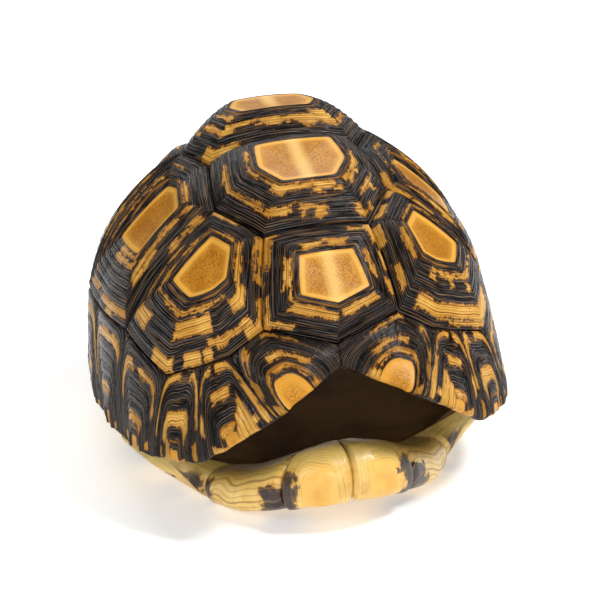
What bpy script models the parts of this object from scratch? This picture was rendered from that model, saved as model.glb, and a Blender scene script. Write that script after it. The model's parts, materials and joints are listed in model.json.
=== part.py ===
"""Leopard tortoise shell, emptied: a bony case of two pieces under its horny scutes.

Millimetres inside the shape functions, metres in the scene. +Z is up, the nose end is -Y and
the shell rests on the flat of its plastron at Z = 0.
"""

import math

import bmesh
import bpy
import numpy as np

MM = 0.001

# Driving dimensions, in millimetres.
KERATIN = 1.5  # thickness of a scute
BONE = 3.2  # thickness of the bony wall
SLIP = 0.3  # clearance between a scute and the bone under it
SEAM = 0.36  # width of the groove between two scutes
DOME_RADIUS = 60.0  # how strongly seam lines arch outwards between their ends
CORE_HEIGHT = 27.0  # height of the middle line that wall thickness is measured towards
CENTRE_SHIFT = -5.26  # slides the whole shell along Y so that its box is centred
MARGIN_BULGE = 1.0  # how far a marginal stands out of the straight line from seam to rim
LIP_TOP = 0.45  # how far up its inner side a free marginal folds, as a part of its height
LIP_DEPTH = KERATIN + SLIP + BONE + SLIP  # where the folded lip of a marginal begins
FRONT_ROLL = 6.0  # radius of the plastron's rounded edge at the gular scutes
SIDE_ROLL = 3.6  # the same where the front lobe meets the bridge
REAR_ROLL = 3.4  # the same at the rear lobe
FRONT_RISE = 7.5  # how far the front lobe turns up
REAR_RISE = 2.5  # how far the rear lobe turns up

# Where three scutes meet, on the +X side (x, y, z). The -X side mirrors them.
SEAM_POINTS = {
    "nape": (0, -58, 45.5),
    "notch": (0, -60, 40.5),
    "v1c1m1": (16.5, -52, 49),
    "v1v2c1": (13, -41.5, 68),
    "v2c1c2": (21.5, -27, 71),
    "v2v3c2": (19, -8, 77),
    "v3c2c3": (24, 1, 78),
    "v3v4c3": (18, 18, 75.5),
    "v4c3c4": (20.5, 31, 65),
    "v4v5c4": (13, 44.5, 60),
    "v5c4m11": (16.5, 61.5, 39.5),
    "v5m11s": (9, 66, 38),
    "m1m2": (25, -52, 43.5),
    "m2m3": (31.5, -50.5, 41.5),
    "m3m4": (39.5, -46, 38.5),
    "m4m5": (45.5, -27, 43.5),
    "m5m6": (49.3, -5, 43),
    "c2c3m6": (50, 5.5, 44),
    "m6m7": (48.2, 16.5, 41),
    "m7m8": (43.8, 33, 39.5),
    "m8m9": (38.5, 45.5, 37),
    "m9m10": (32, 55, 36),
    "m10m11": (24.5, 60.5, 38),
    "rim12": (18, -69, 33),
    "rim23": (35, -59, 20),
    "rim34": (44.2, -48, 18.2),
    "rim45": (49, -30, 16.8),
    "rim56": (51, -12, 15.8),
    "rim67": (50.8, 6.5, 15.5),
    "rim78": (48, 26, 15.8),
    "rim89": (44, 43.5, 16.5),
    "rim910": (38, 58, 17.5),
    "rim1011": (30, 70.5, 19),
    "rim11s": (17.5, 77, 20),
}

# Upper scutes: their corners in order round the outline, the middle of the raised first
# plate, its share of the outline's size, and how far it stands above the seams.
# A name that ends in "-" is the mirrored point.
VERTEBRALS = {
    "vertebral_1": (["nape", "v1c1m1", "v1v2c1", "v1v2c1-", "v1c1m1-"], (0, -55.8, 61.6), 0.45, 3.5),
    "vertebral_2": (
        ["v1v2c1", "v2c1c2", "v2v3c2", "v2v3c2-", "v2c1c2-", "v1v2c1-"],
        (0, -28, 82.3),
        0.46,
        5.0,
    ),
    "vertebral_3": (
        ["v2v3c2", "v3c2c3", "v3v4c3", "v3v4c3-", "v3c2c3-", "v2v3c2-"],
        (0, 2.5, 88.4),
        0.46,
        5.5,
    ),
    "vertebral_4": (
        ["v3v4c3", "v4c3c4", "v4v5c4", "v4v5c4-", "v4c3c4-", "v3v4c3-"],
        (0, 32, 75.5),
        0.46,
        5.5,
    ),
    "vertebral_5": (
        ["v4v5c4", "v5c4m11", "v5m11s", "v5m11s-", "v5c4m11-", "v4v5c4-"],
        (0, 58.5, 57),
        0.42,
        4.5,
    ),
}
COSTALS = {
    "costal_1": (
        ["v1v2c1", "v2c1c2", "m4m5", "m3m4", "m2m3", "m1m2", "v1c1m1"],
        (29.5, -43, 63.5),
        0.42,
        4.5,
    ),
    "costal_2": (
        ["v2c1c2", "v2v3c2", "v3c2c3", "c2c3m6", "m5m6", "m4m5"],
        (35, -11.5, 66),
        0.42,
        4.5,
    ),
    "costal_3": (
        ["v3c2c3", "v3v4c3", "v4c3c4", "m7m8", "m6m7", "c2c3m6"],
        (33.5, 17, 64.5),
        0.42,
        4.5,
    ),
    "costal_4": (
        ["v4c3c4", "v4v5c4", "v5c4m11", "m10m11", "m9m10", "m8m9", "m7m8"],
        (27, 45, 54),
        0.42,
        4.5,
    ),
}

# Marginals from the nose round to the tail: seam points along the top, rim points below.
MARGINALS = [
    (["nape", "v1c1m1", "m1m2"], ["notch", "rim12"]),
    (["m1m2", "m2m3"], ["rim12", "rim23"]),
    (["m2m3", "m3m4"], ["rim23", "rim34"]),
    (["m3m4", "m4m5"], ["rim34", "rim45"]),
    (["m4m5", "m5m6"], ["rim45", "rim56"]),
    (["m5m6", "c2c3m6", "m6m7"], ["rim56", "rim67"]),
    (["m6m7", "m7m8"], ["rim67", "rim78"]),
    (["m7m8", "m8m9"], ["rim78", "rim89"]),
    (["m8m9", "m9m10"], ["rim89", "rim910"]),
    (["m9m10", "m10m11"], ["rim910", "rim1011"]),
    (["m10m11", "v5c4m11", "v5m11s"], ["rim1011", "rim11s"]),
]
SUPRACAUDAL = (["v5m11s", "v5m11s-"], ["rim11s", "rim11s-"])
BRIDGE_MARGINALS = range(4, 9)  # these are sutured to the plastron and have no free lip
BRIDGE_RIMS = ("rim45", "rim56", "rim67", "rim78")

# The plastron's ribs run from the midline out to the edge: y on the midline, then the fold
# (x, y) where the flat underside turns up, then whether the rib climbs the bridge.
RIBS = [
    (-49, (0, -61), False),
    (-49, (4.5, -60.8), False),
    (-49, (9, -59), False),
    (-49, (12.5, -55.8), False),
    (-46, (17, -52), False),
    (-43, (21.5, -47.5), False),
    (-39, (25, -42.5), False),
    (-35, (28, -38), False),
    (-33, (30.5, -33), True),
    (-30, (32, -26), True),
    (-27, (32.5, -17), True),
    (-18, (33, -6), True),
    (-6, (33, 6), True),
    (6, (33, 17), True),
    (16, (32, 27), True),
    (19, (30.5, 34), True),
    (23, (28, 40), False),
    (28, (26.5, 46), False),
    (34, (24.5, 52), False),
    (38, (21.5, 57), False),
    (43, (18, 61), False),
    (48, (13.5, 64), False),
    (52, (8, 64.5), False),
    (54.5, (3.5, 60.5), False),
    (55, (0, 57.5), False),
]
PLASTRALS = [
    ("gular", 0, 3),
    ("humeral", 3, 7),
    ("pectoral", 7, 10),
    ("abdominal", 10, 15),
    ("femoral", 15, 19),
    ("anal", 19, 24),
]
AXILLARY_RIB = 7  # the rib before the bridge, whose outer half the axillary scute covers
INGUINAL_RIB = 15  # the rib behind it, for the inguinal scute
CORNER_KERATIN = 1.0  # thickness of those two small scutes
CORNER_STEP = 3  # first step of a rib that the axillary and inguinal scutes cover
RIB_STEPS = 7
MIDDLE_RIB = 12  # the folds of the underside lean one way before it and the other behind it


def unit(vector):
    return vector / max(np.linalg.norm(vector), 1e-9)


def seam_point(name):
    mirrored = name.endswith("-")
    x, y, z = SEAM_POINTS[name.rstrip("-")]
    return np.array((-x if mirrored else x, y, z), float)


def outward(point):
    """The direction that wall thickness is measured along: away from the shell's core."""
    return unit(point - np.array((0, 0.5 * point[1], CORE_HEIGHT)))


def arch(start, end, part):
    """A point part of the way along a seam, which arches outwards like the dome."""
    rise = np.linalg.norm(end - start) ** 2 / (8 * DOME_RADIUS)
    middle = start + (end - start) * part
    return middle + outward(middle) * (4 * part * (1 - part) * rise)


def along(names, part):
    """A point part of the way along a line through several seam points."""
    legs = len(names) - 1
    leg = min(int(part * legs), legs - 1)
    return arch(seam_point(names[leg]), seam_point(names[leg + 1]), part * legs - leg)


# ---- upper scutes -----------------------------------------------------------------------


def outline_of(corners):
    """The outline of an upper scute: its corners, and one arched point between each two."""
    loop = []
    for start, end in zip(corners, corners[1:] + corners[:1]):
        loop.append(seam_point(start))
        loop.append(arch(seam_point(start), seam_point(end), 0.5))
    return loop


def drawn_in(loop, inside, distance):
    """The loop moved towards the loop inside it, by this distance square to its edges."""
    moved = []
    centre = sum(loop) / len(loop)
    for index, point in enumerate(loop):
        before = unit(point - loop[index - 1])
        after = unit(loop[(index + 1) % len(loop)] - point)
        up = outward(point)
        sides = [unit(np.cross(up, edge)) for edge in (before, after)]
        sides = [side * np.sign(side @ (centre - point)) for side in sides]
        middle = unit(sides[0] + sides[1])
        arm = inside[index] - point
        reach = distance / max(middle @ sides[0], 0.5)
        moved.append(point + arm * (reach / max(arm @ middle, 1.0)))
    return moved


def plate_loops(corners, centre, share):
    """The raised first plate's loop and the seam loop of an upper scute."""
    seam = outline_of(corners)
    middle = sum(seam) / len(seam)
    up = outward(np.array(centre, float))
    raised = []
    for point in seam:
        arm = (point - middle) * share
        raised.append(np.array(centre) + arm - up * (arm @ up) * 0.75)
    return raised, seam


def sunk(points, depth):
    return [point - outward(point) * depth for point in points]


# ---- marginals --------------------------------------------------------------------------


def margin_point(top, rim, part, height, depth):
    """A point of a marginal: part runs along it, height from the rim to the seam above."""
    low = along(rim, part)
    high = along(top, part)
    point = low + (high - low) * height
    out = outward(point)
    return point + out * (4 * height * (1 - height) * MARGIN_BULGE - depth)


def bone_foot(rim, part):
    """How high the bony wall starts on its outer and inner side, as a part of the height."""
    ends = []
    for name in (rim[0], rim[-1]):
        ends.append((0.02, 0.02) if name.rstrip("-") in BRIDGE_RIMS else (0.16, 0.3))
    return [ends[0][side] * (1 - part) + ends[1][side] * part for side in (0, 1)]


def margin_profile(free):
    """The section of a marginal as (height, depth): a plate, with a lip where it is free."""
    outer = [(1, 0), (0.7, 0), (0.4, 0), (0.12, 0)]
    if not free:
        return outer[:3] + [(0, 0), (0, KERATIN), (0.4, KERATIN), (0.7, KERATIN), (1, KERATIN)]
    lip = LIP_DEPTH + KERATIN * 0.8
    under = [(0, 0.4), (0, 1.2), (0.07, 3.2), (0.17, lip), (LIP_TOP, lip), (LIP_TOP, LIP_DEPTH)]
    slot = [(0.275, LIP_DEPTH), (0.135, KERATIN), (0.4, KERATIN), (0.7, KERATIN), (1, KERATIN)]
    return outer + under + slot


# ---- plastron ---------------------------------------------------------------------------


def underside(y):
    """Height of the plastron's underside: flat, with both lobes turned up."""
    front = max(0.0, (-44 - y) / 18) ** 1.5 * FRONT_RISE
    rear = max(0.0, (y - 41) / 23) ** 1.5 * REAR_RISE
    return front + rear


def rim_at(y):
    """The point of the +X rim at this y, along the bridge."""
    names = ["rim34", *BRIDGE_RIMS, "rim89"]
    table = np.array([along(names, step / 10) for step in range(11)])
    return np.array([np.interp(y, table[:, 1], table[:, axis]) for axis in (0, 1, 2)])


def fold_normal(index):
    """The level direction pointing out of the plastron at this rib's fold."""
    before = np.array(RIBS[max(index - 1, 0)][1], float)
    after = np.array(RIBS[min(index + 1, len(RIBS) - 1)][1], float)
    if index in (0, len(RIBS) - 1):
        return np.array((0.0, -1.0 if index == 0 else 1.0))
    run = unit(after - before)
    return np.array((run[1], -run[0]))


def roll_at(index):
    """Radius of the rounded edge at a rib: thick at the nose and thinner towards the bridge."""
    if index >= MIDDLE_RIB:
        return REAR_ROLL
    taper = min(max(index - 3, 0) / 5, 1)
    return FRONT_ROLL + (SIDE_ROLL - FRONT_ROLL) * taper


def rib_points(index):
    """The rib's points from the midline outwards, each with its inward direction."""
    middle_y, (fold_x, fold_y), climbs = RIBS[index]
    start = np.array((0, middle_y, underside(middle_y)))
    fold = np.array((fold_x, fold_y, underside(fold_y)))
    up = np.array((0, 0, 1.0))
    points = [(start, up), ((start + fold) / 2, up), (fold, up)]
    if climbs:
        end = rim_at(fold_y)
        knee = fold + (end - fold) * 0.5 + np.array((2.0, 0, -2.2))
        for part in (0.25, 0.5, 0.75, 1.0):
            point = fold * (1 - part) ** 2 + knee * 2 * part * (1 - part) + end * part**2
            if part == 1.0:
                point = point - unit(end - knee) * SEAM
            points.append((point, unit(up * (1 - part) - outward(point) * part)))
        return points
    side = fold_normal(index)
    out = np.array((side[0], side[1], 0.0))
    radius = roll_at(index)
    hub = fold + up * radius
    for turn in (60, 120, 180):
        angle = math.radians(turn)
        spoke = out * math.sin(angle) - up * math.cos(angle)
        points.append((hub + spoke * radius, -spoke))
    points.append((hub + up * radius - out * radius * 1.2, -up))
    return points


def rib_grid():
    return [rib_points(index) for index in range(len(RIBS))]


def inner_path(index, rib):
    """The plastron bone's upper side along a rib, from the edge back to the midline."""
    depth = KERATIN + SLIP + BONE
    start, fold = rib[0][0], rib[2][0]
    up = np.array((0, 0, 1.0))
    if RIBS[index][2]:
        path = [point + inward * depth for point, inward in rib[6:2:-1]]
    else:
        lip, inward = rib[6]
        toward = unit(start - fold) if np.linalg.norm(start - fold) > 1 else np.array((0, 1.0, 0))
        end = lip + inward * (KERATIN + SLIP)
        path = [end + toward * 1.2 - up * part for part in (0.8, 1.6, 2.4)]
        reach = min(9, 0.4 * np.linalg.norm(start - fold))
        path.append(fold + toward * reach + up * depth)
    return path + [(start + fold) / 2 + up * depth, start + up * depth]


# ---- meshes -----------------------------------------------------------------------------


class Shape:
    """Collects points and faces, then makes one closed object of them."""

    def __init__(self):
        self.points = []
        self.faces = []

    def add(self, points):
        first = len(self.points)
        self.points += [np.array(point) for point in points]
        return list(range(first, first + len(points)))

    def quad(self, a, b, c, d):
        """Two triangles that meet along a-c, so that nested skins fold the same way."""
        self.faces += [(a, b, c), (a, c, d)]

    def strip(self, low, high, closed=True):
        for index in range(len(low) - (0 if closed else 1)):
            after = (index + 1) % len(low)
            self.quad(low[index], low[after], high[after], high[index])

    def fan(self, middle, loop):
        for index in range(len(loop)):
            self.faces.append((middle, loop[index], loop[(index + 1) % len(loop)]))

    def build(self, name, material):
        mesh = bpy.data.meshes.new(name)
        shift = np.array((0, CENTRE_SHIFT, 0))
        places = [tuple((point + shift) * MM) for point in self.points]
        mesh.from_pydata(places, [], self.faces)
        work = bmesh.new()
        work.from_mesh(mesh)
        bmesh.ops.remove_doubles(work, verts=work.verts, dist=1e-6)
        bmesh.ops.triangulate(work, faces=work.faces)
        bmesh.ops.recalc_face_normals(work, faces=work.faces)
        work.to_mesh(mesh)
        work.free()
        mesh.shade_smooth()
        mesh.set_sharp_from_angle(angle=math.radians(35))
        mesh.materials.append(material)
        part = bpy.data.objects.new(name, mesh)
        bpy.context.collection.objects.link(part)
        return part


def mirrored(points):
    return [point * np.array((-1, 1, 1)) for point in points]


def material_of(name, colour, roughness):
    material = bpy.data.materials.new(name)
    material.use_nodes = True
    shader = material.node_tree.nodes["Principled BSDF"]
    shader.inputs["Base Color"].default_value = (*colour, 1)
    shader.inputs["Roughness"].default_value = roughness
    shader.inputs["Metallic"].default_value = 0
    return material


def upper_scute(name, layout, side, material):
    """A vertebral or a costal: a plate between the seams, raised to its first plate."""
    corners, centre, share, _ = layout
    raised, seam = plate_loops(corners, centre, share)
    seam = drawn_in(seam, raised, SEAM / 2)
    middle = [np.array(centre, float)]
    if side < 0:
        raised, seam, middle = mirrored(raised), mirrored(seam), mirrored(middle)
    shape = Shape()
    outer = [shape.add(points) for points in (middle, raised, seam)]
    inner = [shape.add(sunk(points, KERATIN)) for points in (middle, raised, seam)]
    for level in (outer, inner):
        shape.fan(level[0][0], level[1])
        shape.strip(level[1], level[2])
    shape.strip(outer[2], inner[2])
    shape.build(name, material)


def marginal(name, layout, side, free, material):
    """A marginal: its section swept along the rim from one side seam to the other."""
    top, rim = layout
    width = np.linalg.norm(along(rim, 1) - along(rim, 0))
    inset = SEAM / 2 / width
    columns = 2 * (len(top) - 1)
    shape = Shape()
    rings = []
    for column in range(columns + 1):
        part = min(max(column / columns, inset), 1 - inset)
        tall = np.linalg.norm(along(top, part) - along(rim, part))
        ring = []
        for height, depth in margin_profile(free):
            height = min(height, 1 - SEAM / 2 / tall)
            ring.append(margin_point(top, rim, part, height, depth))
        rings.append(shape.add(mirrored(ring) if side < 0 else ring))
    for before, after in zip(rings, rings[1:]):
        shape.strip(before, after)
    shape.faces += [tuple(rings[0]), tuple(reversed(rings[-1]))]
    shape.build(name, material)


def plastral(name, cells, ribs, side, material, thick=KERATIN):
    """A scute of the underside, from the cells of the rib grid that it covers."""
    corners = {}
    for rib, step in cells:
        middle = sum(ribs[rib + i][step + j][0] for i in (0, 1) for j in (0, 1)) / 4
        for corner in ((rib, step), (rib + 1, step), (rib + 1, step + 1), (rib, step + 1)):
            corners.setdefault(corner, []).append(middle)
    shape = Shape()
    outer, inner = {}, {}
    for corner, middles in corners.items():
        point, inward = ribs[corner[0]][corner[1]]
        if len(middles) < 4:
            aim = unit(sum(middles) / len(middles) - point)
            point = point + aim * SEAM / 2 * (1.0 if len(middles) > 1 else 1.45)
        pair = [point, point + inward * thick]
        outer[corner], inner[corner] = shape.add(mirrored(pair) if side < 0 else pair)
    edges = {}
    for rib, step in cells:
        loop = [(rib, step), (rib + 1, step), (rib + 1, step + 1), (rib, step + 1)]
        if rib >= MIDDLE_RIB:
            loop = loop[1:] + loop[:1]
        shape.quad(*[outer[corner] for corner in loop])
        shape.quad(*[inner[corner] for corner in (loop[0], loop[3], loop[2], loop[1])])
        for start, end in zip(loop, loop[1:] + loop[:1]):
            if (end, start) in edges:
                del edges[(end, start)]
            else:
                edges[(start, end)] = True
    for start, end in edges:
        wall = [outer[start], inner[start], inner[end], outer[end]]
        if start > end:
            wall = wall[1:] + wall[:1]
        shape.quad(*wall)
    shape.build(name, material)


def carapace_bone(material):
    """The bony dome: an outer and an inner skin under every upper scute, joined at the rim."""
    shape = Shape()
    close = KERATIN + SLIP
    deep = close + BONE
    layouts = list(VERTEBRALS.values())
    for side in (1, -1):
        plates = layouts + list(COSTALS.values()) if side > 0 else list(COSTALS.values())
        for corners, centre, share, peak in plates:
            raised, seam = plate_loops(corners, centre, share)
            for depth, drop in ((close, 0), (deep, 0.5 * peak)):
                levels = [[np.array(centre, float)], raised, seam]
                levels = [sunk(level, depth + drop * (index < 2)) for index, level in enumerate(levels)]
                if side < 0:
                    levels = [mirrored(level) for level in levels]
                middle, plate, edge = [shape.add(level) for level in levels]
                shape.fan(middle[0], plate)
                shape.strip(plate, edge)
        margins = MARGINALS + [SUPRACAUDAL] if side > 0 else MARGINALS
        for top, rim in margins:
            columns = 2 * (len(top) - 1)
            feet = [[], []]
            for skin, depth in enumerate((close, deep)):
                lines = []
                for column in range(columns + 1):
                    part = column / columns
                    foot = bone_foot(rim, part)[skin]
                    line = []
                    for step in range(4):
                        height = foot + (1 - foot) * step / 3
                        line.append(margin_point(top, rim, part, height, depth))
                    lines.append(shape.add(mirrored(line) if side < 0 else line))
                for before, after in zip(lines, lines[1:]):
                    shape.strip(before, after, closed=False)
                feet[skin] = [line[0] for line in lines]
            shape.strip(feet[0], feet[1], closed=False)
    shape.build("carapace_bone", material)


def plastron_bone(ribs, material):
    """The bony floor: under the lower scutes, thick at its rolled edges, up both bridges."""
    shape = Shape()
    close = KERATIN + SLIP
    for side in (1, -1):
        lines = []
        for index, rib in enumerate(ribs):
            path = [point + inward * close for point, inward in rib] + inner_path(index, rib)
            lines.append(shape.add(mirrored(path) if side < 0 else path))
        for rib, (before, after) in enumerate(zip(lines, lines[1:])):
            shape.strip(before[RIB_STEPS - 1 :], after[RIB_STEPS - 1 :], closed=False)
            if rib >= MIDDLE_RIB:
                before, after = after, before
            shape.strip(before[:RIB_STEPS], after[:RIB_STEPS], closed=False)
    shape.build("plastron_bone", material)


def clear_scene():
    for thing in list(bpy.data.objects):
        bpy.data.objects.remove(thing)


def build():
    clear_scene()
    horn = material_of("dark_horn", (0.09, 0.06, 0.045), 0.3)
    margin_horn = material_of("banded_horn", (0.42, 0.23, 0.07), 0.32)
    pale_horn = material_of("pale_horn", (0.72, 0.5, 0.2), 0.35)
    bone = material_of("bone", (0.5, 0.4, 0.26), 0.6)
    for name, layout in VERTEBRALS.items():
        upper_scute(name, layout, 1, horn)
    ribs = rib_grid()
    for side, hand in ((1, "left"), (-1, "right")):
        for name, layout in COSTALS.items():
            upper_scute(f"{name}_{hand}", layout, side, horn)
        for number, layout in enumerate(MARGINALS, 1):
            free = number not in BRIDGE_MARGINALS
            marginal(f"marginal_{number}_{hand}", layout, side, free, margin_horn)
        corner = {"axillary": AXILLARY_RIB, "inguinal": INGUINAL_RIB}
        for name, rib in corner.items():
            cells = [(rib, step) for step in range(CORNER_STEP, CORNER_STEP + 1)]
            plastral(f"{name}_{hand}", cells, ribs, side, pale_horn, CORNER_KERATIN)
        for name, first, last in PLASTRALS:
            cells = [(rib, step) for rib in range(first, last) for step in range(RIB_STEPS - 1)]
            cells = [cell for cell in cells if cell[0] not in corner.values() or cell[1] < CORNER_STEP]
            plastral(f"{name}_{hand}", cells, ribs, side, pale_horn)
    marginal("supracaudal", SUPRACAUDAL, 1, True, margin_horn)
    carapace_bone(bone)
    plastron_bone(ribs, bone)


build()
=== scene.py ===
import json
import math

import bpy
import numpy as np
from mathutils import Matrix, Vector

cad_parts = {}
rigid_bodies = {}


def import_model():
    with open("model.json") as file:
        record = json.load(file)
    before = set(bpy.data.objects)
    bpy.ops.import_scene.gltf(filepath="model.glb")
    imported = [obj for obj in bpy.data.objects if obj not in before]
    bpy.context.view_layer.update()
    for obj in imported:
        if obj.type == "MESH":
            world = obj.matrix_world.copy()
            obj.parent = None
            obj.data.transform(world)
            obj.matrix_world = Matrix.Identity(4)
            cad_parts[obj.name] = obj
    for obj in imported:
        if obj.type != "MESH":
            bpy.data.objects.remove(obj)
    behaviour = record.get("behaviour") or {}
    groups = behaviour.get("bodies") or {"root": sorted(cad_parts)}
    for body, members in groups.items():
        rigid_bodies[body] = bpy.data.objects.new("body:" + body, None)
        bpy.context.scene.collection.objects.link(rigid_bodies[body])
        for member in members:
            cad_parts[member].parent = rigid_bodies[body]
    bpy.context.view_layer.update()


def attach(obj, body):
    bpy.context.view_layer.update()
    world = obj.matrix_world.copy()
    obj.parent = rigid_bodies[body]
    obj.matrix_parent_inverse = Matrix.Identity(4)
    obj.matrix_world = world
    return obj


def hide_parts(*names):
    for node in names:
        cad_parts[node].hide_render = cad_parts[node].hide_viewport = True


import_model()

mm = 0.001
print("frame loaded")

# ---- camera, light and floor ----

camera = {
    "aim": (0.0039, -0.0137, 0.0363), "azimuth": -12.6, "elevation": 21.2, "roll": -3.1,
    "distance": 0.522, "lens": 118,
}


def cameraFrame(azimuth, elevation, roll):
    a, e, r = (math.radians(angle) for angle in (azimuth, elevation, roll))
    back = Vector((math.sin(a) * math.cos(e), -math.cos(a) * math.cos(e), math.sin(e)))
    level = Vector((math.cos(a), math.sin(a), 0))
    over = back.cross(level)
    right = level * math.cos(r) + over * math.sin(r)
    return right, back.cross(right), back


def placeCamera():
    right, over, back = cameraFrame(camera["azimuth"], camera["elevation"], camera["roll"])
    bpy.ops.object.camera_add()
    eye = bpy.context.object
    eye.data.lens = camera["lens"]
    eye.data.clip_start = 0.01
    spot = Vector(camera["aim"]) + back * camera["distance"]
    turn = Matrix((right, over, back)).transposed().to_4x4()
    eye.matrix_world = Matrix.Translation(spot) @ turn
    bpy.context.scene.camera = eye


studio = {
    "world": (1.0, 1.0, 1.0), "worldStrength": 0.3,
    "lamps": [  # place, size, watts
        ((0.45, -0.25, 0.85), 0.25, 9.5),
        ((-0.7, -0.5, 0.6), 0.4, 2.4),
        ((0.0, 0.9, 0.9), 0.8, 6.5),
        ((-0.1, -1.0, 0.3), 0.35, 3.6),
    ],
    "floor": (0.95, 0.95, 0.94), "floorGlow": 0.34,
}


def placeStudio():
    world = bpy.context.scene.world or bpy.data.worlds.new("studio")
    bpy.context.scene.world = world
    world.use_nodes = True
    world.node_tree.nodes["Background"].inputs["Color"].default_value = (*studio["world"], 1)
    world.node_tree.nodes["Background"].inputs["Strength"].default_value = studio["worldStrength"]
    for place, size, watts in studio["lamps"]:
        bpy.ops.object.light_add(type="AREA", location=place)
        lamp = bpy.context.object
        lamp.data.size = size
        lamp.data.energy = watts
        aim = Vector((0, 0, 0.04)) - Vector(place)
        lamp.rotation_euler = aim.to_track_quat("-Z", "Y").to_euler()
    bpy.ops.mesh.primitive_plane_add(size=12, location=(0, 0, -0.0002))
    floor = bpy.context.object
    floor.name = "floor"
    paper = bpy.data.materials.new("floorPaper")
    paper.use_nodes = True
    shader = paper.node_tree.nodes["Principled BSDF"]
    shader.inputs["Base Color"].default_value = (*studio["floor"], 1)
    shader.inputs["Roughness"].default_value = 0.9
    shader.inputs["Emission Color"].default_value = (*studio["floor"], 1)
    shader.inputs["Emission Strength"].default_value = studio["floorGlow"]
    floor.data.materials.append(paper)
    bpy.context.scene.view_settings.view_transform = "Standard"


placeCamera()
placeStudio()
print("camera, light and floor placed")

# ---- the seam net ----

# Where three scutes meet, on the +X side, in mm. A name that ends in "-" is the mirrored point.
seamPoints = {
    "nape": (0, -58, 45.5),
    "notch": (0, -60, 40.5),
    "v1c1m1": (16.5, -52, 49),
    "v1v2c1": (13, -41.5, 68),
    "v2c1c2": (21.5, -27, 71),
    "v2v3c2": (19, -8, 77),
    "v3c2c3": (24, 1, 78),
    "v3v4c3": (18, 18, 75.5),
    "v4c3c4": (20.5, 31, 65),
    "v4v5c4": (13, 44.5, 60),
    "v5c4m11": (16.5, 61.5, 39.5),
    "v5m11s": (9, 66, 38),
    "m1m2": (25, -52, 43.5),
    "m2m3": (31.5, -50.5, 41.5),
    "m3m4": (39.5, -46, 38.5),
    "m4m5": (45.5, -27, 43.5),
    "m5m6": (49.3, -5, 43),
    "c2c3m6": (50, 5.5, 44),
    "m6m7": (48.2, 16.5, 41),
    "m7m8": (43.8, 33, 39.5),
    "m8m9": (38.5, 45.5, 37),
    "m9m10": (32, 55, 36),
    "m10m11": (24.5, 60.5, 38),
    "rim12": (18, -69, 33),
    "rim23": (35, -59, 20),
    "rim34": (44.2, -48, 18.2),
    "rim45": (49, -30, 16.8),
    "rim56": (51, -12, 15.8),
    "rim67": (50.8, 6.5, 15.5),
    "rim78": (48, 26, 15.8),
    "rim89": (44, 43.5, 16.5),
    "rim910": (38, 58, 17.5),
    "rim1011": (30, 70.5, 19),
    "rim11s": (17.5, 77, 20),
}
net = {"domeRadius": 60.0, "coreHeight": 27.0, "shift": -5.26}


def unitOf(vectors):
    return vectors / np.maximum(np.linalg.norm(vectors, axis=-1, keepdims=True), 1e-9)


def cornerAt(name):
    x, y, z = seamPoints[name.rstrip("-")]
    return np.array((-x if name.endswith("-") else x, y, z), float)


def outwardOf(points):
    points = np.asarray(points, float)
    core = np.zeros_like(points)
    core[..., 1] = 0.5 * points[..., 1]
    core[..., 2] = net["coreHeight"]
    return unitOf(points - core)


def archedSeam(start, end, parts):
    parts = np.asarray(parts, float)[..., None]
    rise = np.sum((end - start) ** 2) / (8 * net["domeRadius"])
    middle = start + (end - start) * parts
    return middle + outwardOf(middle) * (4 * parts * (1 - parts) * rise)


def alongSeam(names, parts):
    legs = len(names) - 1
    parts = np.asarray(parts, float)
    places = np.zeros((len(parts), 3))
    for leg in range(legs):
        here = (parts * legs >= leg) if leg else (parts * legs > -1)
        run = archedSeam(cornerAt(names[leg]), cornerAt(names[leg + 1]), parts * legs - leg)
        places[here] = run[here]
    return places


def blend(low, high, value):
    value = np.clip((value - low) / (high - low), 0, 1)
    return value * value * (3 - 2 * value)


def ripple(value, seed, detail=3):  # smooth one-way noise, about -1 to 1
    total = 0
    for octave in range(detail):
        for turn in range(3):
            pace = 2.0**octave * (1 + 0.37 * turn)
            total = total + np.sin(value * pace * 6.283 + seed * (3.1 + turn) + octave * 1.7) / (
                1.6 * 1.8**octave
            )
    return total / 2.4


# ---- making a closed sheet from rows and columns of points ----


def makeSheet(name, rows, marks, materialName, stands):
    rowCount, columnCount = rows.shape[:2]
    bpy.ops.object.select_all(action="DESELECT")
    bpy.ops.mesh.primitive_grid_add(
        x_subdivisions=columnCount - 1, y_subdivisions=rowCount - 1, size=0.1
    )
    piece = bpy.context.object
    piece.name = name
    piece.data.name = name
    places = (rows + np.array((0, net["shift"], 0))) * mm
    piece.data.vertices.foreach_set("co", places.reshape(-1).astype(np.float32))
    for mark, values in marks.items():
        size = values.shape[-1] if values.ndim == 3 else 1
        kind = "FLOAT_VECTOR" if size == 3 else "FLOAT"
        layer = piece.data.attributes.new(mark, kind, "POINT")
        layer.data.foreach_set("vector" if size == 3 else "value", values.reshape(-1).astype(np.float32))
    for layer in list(piece.data.uv_layers):
        piece.data.uv_layers.remove(layer)
    bpy.ops.object.mode_set(mode="EDIT")
    bpy.ops.mesh.select_all(action="SELECT")
    bpy.ops.mesh.remove_doubles(threshold=0.000002)
    bpy.ops.mesh.normals_make_consistent(inside=False)
    bpy.ops.object.mode_set(mode="OBJECT")
    bpy.ops.object.shade_smooth()
    piece.data.materials.clear()
    piece.data.materials.append(bpy.data.materials[materialName])
    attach(piece, "root")
    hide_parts(*stands)
    return piece


# ---- upper scutes ----

scute = {
    "spacing": 0.42, "rowStep": 0.3, "thickness": 1.3, "gap": 0.05, "rollWidth": 0.6, "rollDepth": 0.28,
    "terrace": 0.42, "fineLine": 0.17, "ringWidth": 1.75, "plateStep": 0.35, "plateDish": 0.55,
    "plateRowStep": 0.6, "wobble": 0.12,
}

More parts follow.
